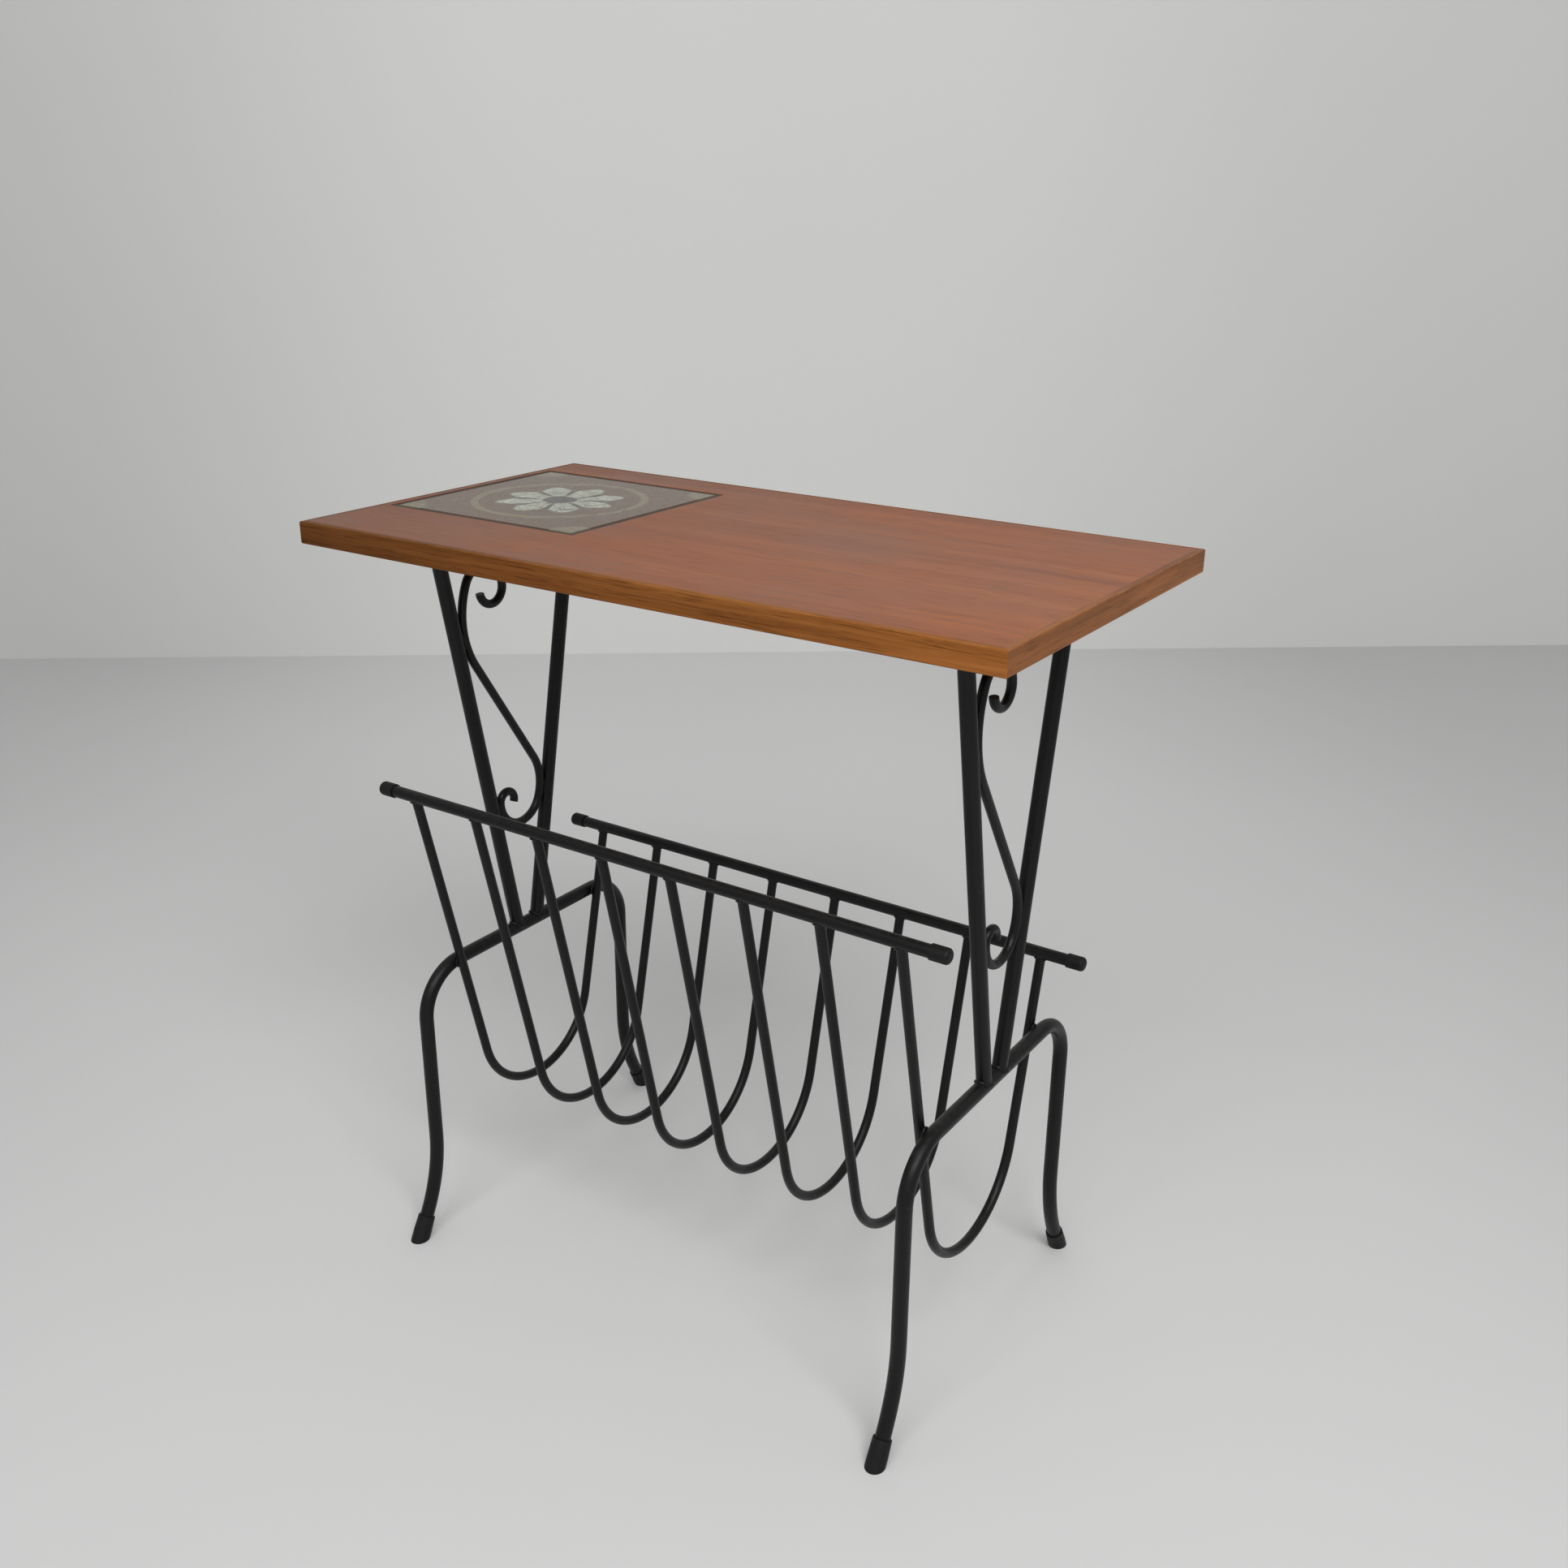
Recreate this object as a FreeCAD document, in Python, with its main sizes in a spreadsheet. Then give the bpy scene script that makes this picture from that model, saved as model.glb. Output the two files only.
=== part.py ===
import FreeCAD, Part
import math
import os
import Sketcher
from FreeCAD import Placement, Rotation, Vector

# Magazine table: a veneered top with an inset tile, carried on two welded end frames of round rod,
# with a rack of U-shaped wires slung between them.
# The origin is on the floor midway between the feet. X runs along the top, the front is at -Y, Z is up.

# Driving sizes in millimetres, angles in degrees, and shares of the sizes that they follow
SIZES = {
    # Tabletop
    "table_height": 526.0,
    "top_length": 500.0,
    "top_width": 264.0,
    "top_thickness": 14.5,
    "top_setback": 3.5,
    "veneer": 0.8,
    "lipping": 4.0,
    "lipping_round": 1.0,
    # Inset tile
    "tile_side": 151.0,
    "tile_thickness": 6.0,
    "tile_round": 0.8,
    "tile_border": 4.4,
    "tile_bed": 1.5,
    "border_recess": 0.4,
    "recess_clearance": 0.1,
    "tile_left_margin": 7.5,
    "tile_rear_margin": 34.5,
    # Mounting straps and their screws
    "strap_thickness": 3.0,
    "strap_width": 20.0,
    "strap_overhang": 24.0,
    "strap_corner": 3.0,
    "screw_shank": 3.8,
    "screw_head": 7.6,
    "screw_head_height": 2.4,
    "screw_point": 2.0,
    "screw_clearance": 0.2,
    "screw_bite_share": 0.7,
    "screw_inset_share": 0.5,
    # End frames
    "frame_inset": 55.0,
    "leg_rod": 10.0,
    "upright_rod": 10.0,
    "weld_gap": 0.1,
    "arch_height": 207.0,
    "arch_bend": 35.0,
    "leg_spread": 214.0,
    "kick_radius": 130.0,
    "kick_angle": 27.0,
    "foot_run": 14.0,
    "leg_end_height": 6.0,
    "upright_spread_low": 20.0,
    "upright_spread_high": 133.0,
    # Foot tips
    "foot_tip_wall": 1.0,
    "foot_tip_swell": 0.4,
    "foot_tip_depth": 11.0,
    "foot_tip_round": 0.5,
    "tip_clearance": 0.1,
    # Scrolls between the uprights
    "scroll_rod": 6.0,
    "scroll_upper_share": 0.805,
    "scroll_lower_share": 0.36,
    "upper_bow_share": 0.20,
    "lower_bow_share": 0.117,
    "curl_start_angle": 25.0,
    "upper_curl_radius": 18.0,
    "upper_hook_radius": 11.0,
    "upper_hook_turn": 170.0,
    "lower_hook_radius": 7.0,
    "lower_hook_turn": 200.0,
    # Rack
    "rail_rod": 8.0,
    "rail_overhang": 19.5,
    "front_rail_rise": 137.7,
    "rear_rail_rise": 50.9,
    "rack_drop": 123.7,
    "rack_forward": 3.0,
    "wire_rod": 6.5,
    "wire_bend": 57.0,
    "wire_lean": 12.8,
    "rail_tip_wall": 0.7,
    "rail_tip_depth": 9.0,
    "rail_tip_end": 3.0,
    "rail_tip_round": 2.5,
    # Length by which a cutting shape runs past what it cuts
    "overrun": 12.0,
}

WIRE_COUNT = 8
SCREWS_PER_STRAP = 3

# Sizes and places that follow from the driving ones
DERIVED = {
    # Tabletop levels, and the board inside the lippings
    "top_underside": "=Sizes.table_height - Sizes.top_thickness",
    "board_length": "=Sizes.top_length - 2 * Sizes.lipping",
    "board_width": "=Sizes.top_width - 2 * Sizes.lipping",
    "core_thickness": "=Sizes.top_thickness - 2 * Sizes.veneer",
    "core_underside": "=top_underside + Sizes.veneer",
    "veneer_underside": "=Sizes.table_height - Sizes.veneer",
    # Tile recess
    "border_side": "=Sizes.tile_side + 2 * Sizes.tile_border",
    "recess_side": "=border_side + 2 * Sizes.recess_clearance",
    "recess_depth": "=Sizes.tile_thickness + Sizes.tile_bed",
    "recess_floor": "=Sizes.table_height - recess_depth",
    "tile_x": "=Sizes.tile_left_margin + recess_side / 2 - Sizes.top_length / 2",
    "tile_y": "=Sizes.top_width / 2 - Sizes.tile_rear_margin - recess_side / 2",
    "tile_seat": "=recess_floor + Sizes.tile_bed",
    "border_height": "=Sizes.tile_thickness - Sizes.border_recess",
    # Straps and screws
    "frame_x": "=Sizes.top_length / 2 - Sizes.frame_inset",
    "strap_underside": "=top_underside - Sizes.strap_thickness",
    "strap_length": "=Sizes.upright_spread_high + 2 * Sizes.strap_overhang",
    "screw_reach": "=strap_length / 2 - Sizes.strap_overhang * Sizes.screw_inset_share",
    "screw_bite": "=Sizes.screw_bite_share * (Sizes.top_thickness - recess_depth)",
    "screw_length": "=Sizes.strap_thickness + screw_bite",
    "screw_hole": "=Sizes.screw_shank + 2 * Sizes.screw_clearance",
    "pilot_depth": "=screw_bite + Sizes.screw_clearance - Sizes.veneer",
    # Leg arch, bent in one plane from the middle of its crossbar
    "crossbar_run": "=Sizes.leg_spread / 2 - Sizes.arch_bend",
    "kick_top": "=Sizes.leg_end_height + Sizes.foot_run * cos(Sizes.kick_angle)"
                " + Sizes.kick_radius * sin(Sizes.kick_angle)",
    "leg_run": "=Sizes.arch_height - Sizes.arch_bend - kick_top",
    "kick_out": "=Sizes.kick_radius * (1 - cos(Sizes.kick_angle)) + Sizes.foot_run * sin(Sizes.kick_angle)",
    "foot_y": "=Sizes.leg_spread / 2 + kick_out",
    # Foot tips, bored for the leg
    "foot_bore": "=Sizes.leg_rod / 2 + Sizes.tip_clearance",
    "foot_tip_mouth": "=foot_bore + Sizes.foot_tip_wall",
    "foot_tip_base": "=foot_tip_mouth + Sizes.foot_tip_swell",
    "foot_tip_drop": "=Sizes.leg_end_height / cos(Sizes.kick_angle) + foot_tip_base * tan(Sizes.kick_angle)"
                     " + Sizes.overrun",
    # Uprights, leaning outward from the crossbar to the strap
    "upright_rise": "=strap_underside - Sizes.arch_height",
    "upright_lean": "=atan((Sizes.upright_spread_high - Sizes.upright_spread_low) / 2 / upright_rise)",
    "upright_length": "=upright_rise / cos(upright_lean) + Sizes.overrun",
    "crossbar_cut": "=Sizes.leg_rod / 2 + Sizes.weld_gap",
    "trim_width": "=Sizes.upright_spread_high + 2 * Sizes.overrun",
    # Scroll: two bows, each bearing on its own upright, joined by the straight that touches both
    "scroll_seat": "=Sizes.scroll_rod / 2 + Sizes.weld_gap + Sizes.upright_rod / 2",
    "upper_bow": "=Sizes.upper_bow_share * upright_rise",
    "lower_bow": "=Sizes.lower_bow_share * upright_rise",
    "upper_rise": "=Sizes.scroll_upper_share * upright_rise",
    "lower_rise": "=Sizes.scroll_lower_share * upright_rise",
    "upper_bow_y": "=(upper_bow + scroll_seat - upper_rise * sin(upright_lean)) / cos(upright_lean)"
                   " - Sizes.upright_spread_low / 2",
    "lower_bow_y": "=Sizes.upright_spread_low / 2"
                   " - (lower_bow + scroll_seat - lower_rise * sin(upright_lean)) / cos(upright_lean)",
    "bow_distance": "=sqrt((upper_bow_y - lower_bow_y) ^ 2 + (upper_rise - lower_rise) ^ 2)",
    "bow_sum": "=upper_bow + lower_bow",
    "crossing_share": "=upper_bow / bow_sum",
    "scroll_y": "=upper_bow_y + (lower_bow_y - upper_bow_y) * crossing_share",
    "scroll_z": "=Sizes.arch_height + upper_rise + (lower_rise - upper_rise) * crossing_share",
    "scroll_tilt": "=asin(bow_sum / bow_distance)"
                   " - atan((upper_bow_y - lower_bow_y) / (upper_rise - lower_rise))",
    "straight_length": "=sqrt(bow_distance ^ 2 - bow_sum ^ 2)",
    "upper_straight": "=straight_length * crossing_share",
    "lower_straight": "=straight_length - upper_straight",
    "bow_turn": "=scroll_tilt + Sizes.curl_start_angle * 1deg",
    "curl_turn": "=180deg - Sizes.curl_start_angle * 1deg",
    # The lower curl also bears on the front upright, which sets its radius
    "curl_slant": "=cos(Sizes.curl_start_angle * 1deg + upright_lean)",
    "lower_bow_front": "=(lower_bow_y + Sizes.upright_spread_low / 2) * cos(upright_lean)"
                       " + lower_rise * sin(upright_lean)",
    "lower_curl": "=(lower_bow_front - scroll_seat + lower_bow * curl_slant) / (1 + curl_slant)",
    # Rack wires, bent from the middle of the U up to each rail
    "wire_low_z": "=Sizes.arch_height - Sizes.rack_drop",
    "wire_turn": "=90deg - Sizes.wire_lean * 1deg",
    "bend_rise": "=Sizes.wire_bend * (1 - sin(Sizes.wire_lean))",
    "front_arm": "=(Sizes.front_rail_rise + Sizes.rack_drop - bend_rise) / cos(Sizes.wire_lean)",
    "rear_arm": "=(Sizes.rear_rail_rise + Sizes.rack_drop - bend_rise) / cos(Sizes.wire_lean)",
    "front_reach": "=Sizes.wire_bend * cos(Sizes.wire_lean) + front_arm * sin(Sizes.wire_lean)",
    "rear_reach": "=Sizes.wire_bend * cos(Sizes.wire_lean) + rear_arm * sin(Sizes.wire_lean)",
    "front_rise": "=Sizes.front_rail_rise + Sizes.rack_drop",
    "rear_rise": "=Sizes.rear_rail_rise + Sizes.rack_drop",
    "end_wire_x": "=frame_x - Sizes.leg_rod / 2 - Sizes.weld_gap - Sizes.wire_rod / 2",
    "rail_cut": "=Sizes.rail_rod + 2 * Sizes.weld_gap",
    # Rails and their tips
    "front_rail_y": "=-front_reach - Sizes.rack_forward",
    "front_rail_z": "=Sizes.arch_height + Sizes.front_rail_rise",
    "rear_rail_y": "=rear_reach - Sizes.rack_forward",
    "rear_rail_z": "=Sizes.arch_height + Sizes.rear_rail_rise",
    "rail_length": "=2 * (frame_x + Sizes.rail_overhang)",
    "rail_bore": "=Sizes.rail_rod / 2 + Sizes.tip_clearance",
    "rail_tip_radius": "=rail_bore + Sizes.rail_tip_wall",
}

# How exactly an edge has to lie at a level to be picked, as a share of its length, and how near faces touch
EDGE_TOLERANCE_SHARE = 0.001
TOUCH = 0.01

LEFT_RIGHT = {"left": -1, "right": 1}
FRONT_REAR = {"front": -1, "rear": 1}

doc = FreeCAD.newDocument("magazine_table")
sub_parts = []


def fill_sheet(name, cells):
    """A sheet with one aliased cell per entry."""
    sheet = doc.addObject("Spreadsheet::Sheet", name)
    for row, (alias, content) in enumerate(cells.items(), start=1):
        cell = f"A{row}"
        sheet.set(cell, str(content))
        sheet.setAlias(cell, alias)
    doc.recompute()
    return sheet


fill_sheet("Sizes", SIZES)
derived = fill_sheet("Derived", DERIVED)


def value_of(expression):
    """The number that an expression over the sheets gives."""
    result = derived.evalExpression(expression)
    return float(getattr(result, "Value", result))


def sub_part(obj, label):
    """Name an object as one physical piece of the table."""
    obj.Label = label
    sub_parts.append(obj)
    return obj


def new_body(label):
    return sub_part(doc.addObject("PartDesign::Body", label), label)


def place(obj, x="0", y="0", z="0", axis=None, angle="0"):
    """Put an object at a place, turned about an axis, all bound to the sheets."""
    if axis is not None:
        obj.Placement = Placement(Vector(), Rotation(axis, value_of(angle)))
        obj.setExpression("Placement.Rotation.Angle", angle)
    for name, expression in (("x", x), ("y", y), ("z", z)):
        obj.setExpression(f"Placement.Base.{name}", expression)


def new_sketch(body, role, name, x="0", y="0", z="0"):
    """A sketch on one of the body's origin planes, moved within it by x and y and off it by z."""
    plane = next(item for item in body.Origin.OriginFeatures if item.Role == role)
    sketch = body.newObject("Sketcher::SketchObject", name)
    sketch.AttachmentSupport = (plane, [""])
    sketch.MapMode = "FlatFace"
    for axis, expression in (("x", x), ("y", y), ("z", z)):
        sketch.setExpression(f"AttachmentOffset.Base.{axis}", expression)
    return sketch


def bind(sketch, expression, kind, *elements):
    """A dimension of the sketch, bound to the sheets."""
    value = value_of(expression)
    if kind == "Angle":
        value = math.radians(value)
    index = sketch.addConstraint(Sketcher.Constraint(kind, *elements, value))
    sketch.setExpression(f"Constraints[{index}]", expression)


def pin(sketch, geometry, end, x, y):
    """Hold an end of a line at x, y from the sketch's origin."""
    for kind, axis, expression in (("DistanceX", -2, x), ("DistanceY", -1, y)):
        value = value_of(expression)
        if value == 0:
            sketch.addConstraint(Sketcher.Constraint("PointOnObject", geometry, end, axis))
        elif value > 0:
            bind(sketch, expression, kind, -1, 1, geometry, end)
        else:
            bind(sketch, f"-({expression})", kind, geometry, end, -1, 1)


def draw_circle(sketch, diameter):
    radius = value_of(diameter) / 2
    index = sketch.addGeometry(Part.Circle(Vector(), Vector(0, 0, 1), radius))
    sketch.addConstraint(Sketcher.Constraint("Coincident", index, 3, -1, 1))
    bind(sketch, diameter, "Diameter", index)


def draw_polygon(sketch, corners):
    """A closed outline through corners that are pairs of expressions."""
    points = [Vector(value_of(x), value_of(y), 0) for x, y in corners]
    first = sketch.GeometryCount
    for start, end in zip(points, points[1:] + points[:1]):
        sketch.addGeometry(Part.LineSegment(start, end))
    count = len(points)
    for side in range(count):
        joint = (first + side, 2, first + (side + 1) % count, 1)
        sketch.addConstraint(Sketcher.Constraint("Coincident", *joint))
    for side, (x, y) in enumerate(corners):
        pin(sketch, first + side, 1, x, y)


def draw_rectangle(sketch, length, width):
    """A rectangle about the sketch's origin."""
    half_length = f"({length}) / 2"
    half_width = f"({width}) / 2"
    draw_polygon(sketch, [
        (f"-{half_length}", f"-{half_width}"),
        (half_length, f"-{half_width}"),
        (half_length, half_width),
        (f"-{half_length}", half_width),
    ])


def draw_bends(sketch, heading, steps):
    """The centre line of a bent rod from the sketch's origin: runs and bends, each tangent to the last.

    A run is a length. A bend is a radius, a turn, and 1 to the left or -1 to the right.
    """
    point = Vector()
    run_axis, bend_axis = (-1, -2) if heading.x else (-2, -1)
    last_end = None
    for step in steps:
        if len(step) == 1:
            far_point = point + heading * value_of(step[0])
            index = sketch.addGeometry(Part.LineSegment(point, far_point))
            bind(sketch, step[0], "Distance", index)
            near_end, far_end = 1, 2
            guided = (index, far_end, run_axis)
        else:
            radius_size, turn_size, side = step
            radius = value_of(radius_size)
            turn = side * math.radians(value_of(turn_size))
            inward = Vector(-heading.y, heading.x, 0) * side
            centre = point + inward * radius
            start_angle = math.atan2(-inward.y, -inward.x)
            span = sorted((start_angle, start_angle + turn))
            circle = Part.Circle(centre, Vector(0, 0, 1), radius)
            index = sketch.addGeometry(Part.ArcOfCircle(circle, *span))
            bind(sketch, radius_size, "Radius", index)
            bind(sketch, turn_size, "Angle", index)
            near_end, far_end = (1, 2) if side > 0 else (2, 1)
            guided = (index, 3, bend_axis)
            heading = Rotation(Vector(0, 0, 1), math.degrees(turn)).multVec(heading)
            far_point = centre + Vector(heading.y, -heading.x, 0) * side * radius
        if last_end is None:
            sketch.addConstraint(Sketcher.Constraint("Coincident", index, near_end, -1, 1))
            sketch.addConstraint(Sketcher.Constraint("PointOnObject", *guided))
        else:
            sketch.addConstraint(Sketcher.Constraint("Tangent", *last_end, index, near_end))
        last_end = (index, far_end)
        point = far_point


def pad(body, sketch, length):
    feature = body.newObject("PartDesign::Pad", "Pad")
    feature.Profile = sketch
    feature.setExpression("Length", length)
    doc.recompute()
    return feature


def pocket(body, sketch, depth, upward=False, both_ways=False):
    """Cut a sketch's outline out of the body, down from the sketch's plane unless told otherwise."""
    before = body.Shape.Volume
    feature = body.newObject("PartDesign::Pocket", "Pocket")
    feature.Profile = sketch
    feature.Reversed = upward
    feature.SideType = "Symmetric" if both_ways else "One side"
    feature.setExpression("Length", depth)
    doc.recompute()
    if not body.Shape.Volume < before:
        raise RuntimeError(f"{body.Label}: {sketch.Label} cuts nothing")
    return feature


def drill(body, x, y, diameter, depth):
    """A round hole upward from the body's underside."""
    sketch = new_sketch(body, "XY_Plane", "HoleSketch", x=x, y=y)
    draw_circle(sketch, diameter)
    pocket(body, sketch, depth, upward=True)


def sweep(body, profile, spine):
    """A rod: the round profile along the centre line."""
    feature = body.newObject("PartDesign::AdditivePipe", "Rod")
    feature.Profile = profile
    feature.Spine = spine
    doc.recompute()
    return feature


def revolve(body, corners, name):
    """Turn an outline of radius and height pairs about the body's upright axis."""
    sketch = new_sketch(body, "XZ_Plane", name)
    draw_polygon(sketch, corners)
    feature = body.newObject("PartDesign::Revolution", "Turned")
    feature.Profile = sketch
    feature.ReferenceAxis = (sketch, ["V_Axis"])
    doc.recompute()
    return feature


def round_edges(body, feature, radius, chosen):
    """Round the edges of a feature that the test picks."""
    names = [f"Edge{number}" for number, edge in enumerate(feature.Shape.Edges, start=1) if chosen(edge)]
    fillet = body.newObject("PartDesign::Fillet", "Round")
    fillet.Base = (feature, names)
    fillet.setExpression("Radius", radius)
    doc.recompute()
    return fillet


def is_upright(edge):
    """Whether an edge runs straight up."""
    return edge.BoundBox.XLength + edge.BoundBox.YLength < edge.BoundBox.ZLength * EDGE_TOLERANCE_SHARE


def lies_at(edge, axis, level):
    """Whether an edge lies wholly at a level of one axis."""
    low = getattr(edge.BoundBox, f"{axis}Min")
    high = getattr(edge.BoundBox, f"{axis}Max")
    return max(abs(low - level), abs(high - level)) < EDGE_TOLERANCE_SHARE * edge.Length


def screw_places():
    """Where the screws of one strap stand along it."""
    steps = SCREWS_PER_STRAP - 1
    return [f"Derived.screw_reach * {2 * step - steps} / {steps}" for step in range(SCREWS_PER_STRAP)]


def board_layer(label, thickness, underside):
    """A rectangular layer of the board inside the lippings."""
    body = new_body(label)
    place(body, y="Sizes.top_setback", z=underside)
    outline = new_sketch(body, "XY_Plane", "Outline")
    draw_rectangle(outline, "Derived.board_length", "Derived.board_width")
    pad(body, outline, thickness)
    return body


def cut_tile_recess(body, top_level, depth):
    sketch = new_sketch(body, "XY_Plane", "TileRecess", "Derived.tile_x", "Derived.tile_y", top_level)
    draw_rectangle(sketch, "Derived.recess_side", "Derived.recess_side")
    pocket(body, sketch, depth)


def drill_screw_holes(body, depth):
    for side in LEFT_RIGHT.values():
        for y in screw_places():
            drill(body, f"{side} * Derived.frame_x", f"{y} - Sizes.top_setback", "Derived.screw_hole", depth)


def make_board():
    """The core and its two veneers."""
    core = board_layer("top_core", "Derived.core_thickness", "Derived.core_underside")
    cut_tile_recess(core, "Derived.core_thickness", "Derived.recess_depth - Sizes.veneer")
    drill_screw_holes(core, "Derived.pilot_depth")
    face = board_layer("face_veneer", "Sizes.veneer", "Derived.veneer_underside")
    cut_tile_recess(face, "Sizes.veneer", "Sizes.veneer")
    backing = board_layer("backing_veneer", "Sizes.veneer", "Derived.top_underside")
    drill_screw_holes(backing, "Sizes.veneer")


def make_lipping(label, length, turn, x, y):
    """A solid edge strip, mitred at both ends, with its outer arrises eased."""
    body = new_body(label)
    place(body, x, y, "Derived.top_underside", Vector(0, 0, 1), turn)
    outline = new_sketch(body, "XY_Plane", "Outline")
    draw_polygon(outline, [
        (f"-{length} / 2", "0"),
        (f"{length} / 2", "0"),
        (f"{length} / 2 - Sizes.lipping", "Sizes.lipping"),
        (f"-{length} / 2 + Sizes.lipping", "Sizes.lipping"),
    ])
    strip = pad(body, outline, "Sizes.top_thickness")
    round_edges(body, strip, "Sizes.lipping_round",
                lambda edge: lies_at(edge, "Y", 0) and not is_upright(edge))


def make_lippings():
    make_lipping("lipping_front", "Sizes.top_length", "0", "0", "Sizes.top_setback - Sizes.top_width / 2")
    make_lipping("lipping_rear", "Sizes.top_length", "180", "0", "Sizes.top_setback + Sizes.top_width / 2")
    make_lipping("lipping_left", "Sizes.top_width", "270", "-Sizes.top_length / 2", "Sizes.top_setback")
    make_lipping("lipping_right", "Sizes.top_width", "90", "Sizes.top_length / 2", "Sizes.top_setback")


def make_tile():
    """The glazed tile, its dark border and the adhesive bed under both."""
    bed = new_body("tile_bed")
    place(bed, "Derived.tile_x", "Sizes.top_setback + Derived.tile_y", "Derived.recess_floor")
    bed_outline = new_sketch(bed, "XY_Plane", "Outline")
    draw_rectangle(bed_outline, "Derived.border_side", "Derived.border_side")
    pad(bed, bed_outline, "Sizes.tile_bed")

    border = new_body("tile_border")
    place(border, "Derived.tile_x", "Sizes.top_setback + Derived.tile_y", "Derived.tile_seat")
    border_outline = new_sketch(border, "XY_Plane", "Outline")
    draw_rectangle(border_outline, "Derived.border_side", "Derived.border_side")
    draw_rectangle(border_outline, "Sizes.tile_side", "Sizes.tile_side")
    pad(border, border_outline, "Derived.border_height")

    tile = new_body("tile")
    place(tile, "Derived.tile_x", "Sizes.top_setback + Derived.tile_y", "Derived.tile_seat")
    tile_outline = new_sketch(tile, "XY_Plane", "Outline")
    draw_rectangle(tile_outline, "Sizes.tile_side", "Sizes.tile_side")
    slab = pad(tile, tile_outline, "Sizes.tile_thickness")
    top_level = value_of("Sizes.tile_thickness")
    round_edges(tile, slab, "Sizes.tile_round", lambda edge: lies_at(edge, "Z", top_level))


def make_strap(end, side):
    """The flat strap that joins the tops of two uprights, and the screws through it into the board."""
    strap = new_body(f"mounting_strap_{end}")
    place(strap, f"{side} * Derived.frame_x", "0", "Derived.strap_underside")
    outline = new_sketch(strap, "XY_Plane", "Outline")
    draw_rectangle(outline, "Sizes.strap_width", "Derived.strap_length")
    bar = pad(strap, outline, "Sizes.strap_thickness")
    round_edges(strap, bar, "Sizes.strap_corner", is_upright)
    for y in screw_places():
        drill(strap, "0", y, "Derived.screw_hole", "Sizes.strap_thickness")

    screws = new_body(f"strap_screws_{end}")
    place(screws, f"{side} * Derived.frame_x", "-Derived.screw_reach", "Derived.strap_underside")
    screw = revolve(screws, [
        ("0", "-Sizes.screw_head_height"),
        ("Sizes.screw_head / 2", "-Sizes.screw_head_height"),
        ("Sizes.screw_head / 2", "0"),
        ("Sizes.screw_shank / 2", "0"),
        ("Sizes.screw_shank / 2", "Derived.screw_length - Sizes.screw_point"),
        ("0", "Derived.screw_length"),
    ], "ScrewOutline")
    row = screws.newObject("PartDesign::LinearPattern", "Row")
    row.Originals = [screw]
    row.Direction = (next(item for item in screws.Origin.OriginFeatures if item.Role == "Y_Axis"), [""])
    row.Occurrences = SCREWS_PER_STRAP
    row.setExpression("Length", "2 * Derived.screw_reach")
    screws.Tip = row


def make_leg_arch(end, side):
    """One rod bent into a crossbar and two legs that kick outward to the feet."""
    body = new_body(f"leg_arch_{end}")
    place(body, f"{side} * Derived.frame_x")
    profile = new_sketch(body, "XZ_Plane", "Profile", y="Sizes.arch_height")
    draw_circle(profile, "Sizes.leg_rod")
    spine = new_sketch(body, "YZ_Plane", "Spine", y="Sizes.arch_height")
    draw_bends(spine, Vector(1, 0, 0), [
        ("Derived.crossbar_run",),
        ("Sizes.arch_bend", "90", -1),
        ("Derived.leg_run",),
        ("Sizes.kick_radius", "Sizes.kick_angle", 1),
        ("Sizes.foot_run",),
    ])
    half = sweep(body, profile, spine)
    whole = body.newObject("PartDesign::Mirrored", "Whole")
    whole.Originals = [half]
    whole.MirrorPlane = (next(item for item in body.Origin.OriginFeatures if item.Role == "XZ_Plane"), [""])
    body.Tip = whole


def make_foot_tip(end, end_side, face, face_side):
    """A swelling cap on the end of a leg, in line with it and cut flat on the floor."""
    cap = doc.addObject("PartDesign::Body", "FootCap")
    leg_axis = Vector(face_side, 0, 0)
    place(cap, f"{end_side} * Derived.frame_x", f"{face_side} * Derived.foot_y", "Sizes.leg_end_height",
          leg_axis, "Sizes.kick_angle")
    turned = revolve(cap, [
        ("0", "-Derived.foot_tip_drop"),
        ("Derived.foot_tip_base", "-Derived.foot_tip_drop"),
        ("Derived.foot_tip_base", "0"),
        ("Derived.foot_tip_mouth", "Sizes.foot_tip_depth"),
        ("Derived.foot_bore", "Sizes.foot_tip_depth"),
        ("Derived.foot_bore", "0"),
        ("0", "0"),
    ], "CapOutline")
    mouth_level = value_of("Sizes.foot_tip_depth")
    mouth_radius = value_of("Derived.foot_tip_mouth")
    round_edges(cap, turned, "Sizes.foot_tip_round",
                lambda edge: lies_at(edge, "Z", mouth_level) and edge.BoundBox.XMax > mouth_radius - TOUCH)
    floor = doc.addObject("Part::Box", "Floor")
    floor.setExpression("Length", "2 * Derived.foot_tip_drop")
    floor.setExpression("Width", "2 * Derived.foot_tip_drop")
    floor.setExpression("Height", "2 * Derived.foot_tip_drop")
    place(floor, f"{end_side} * Derived.frame_x - Derived.foot_tip_drop",
          f"{face_side} * Derived.foot_y - Derived.foot_tip_drop", "-2 * Derived.foot_tip_drop")
    tip = sub_part(doc.addObject("Part::Cut", "FootTip"), f"foot_tip_{face}_{end}")
    tip.Base = cap
    tip.Tool = floor


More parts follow.
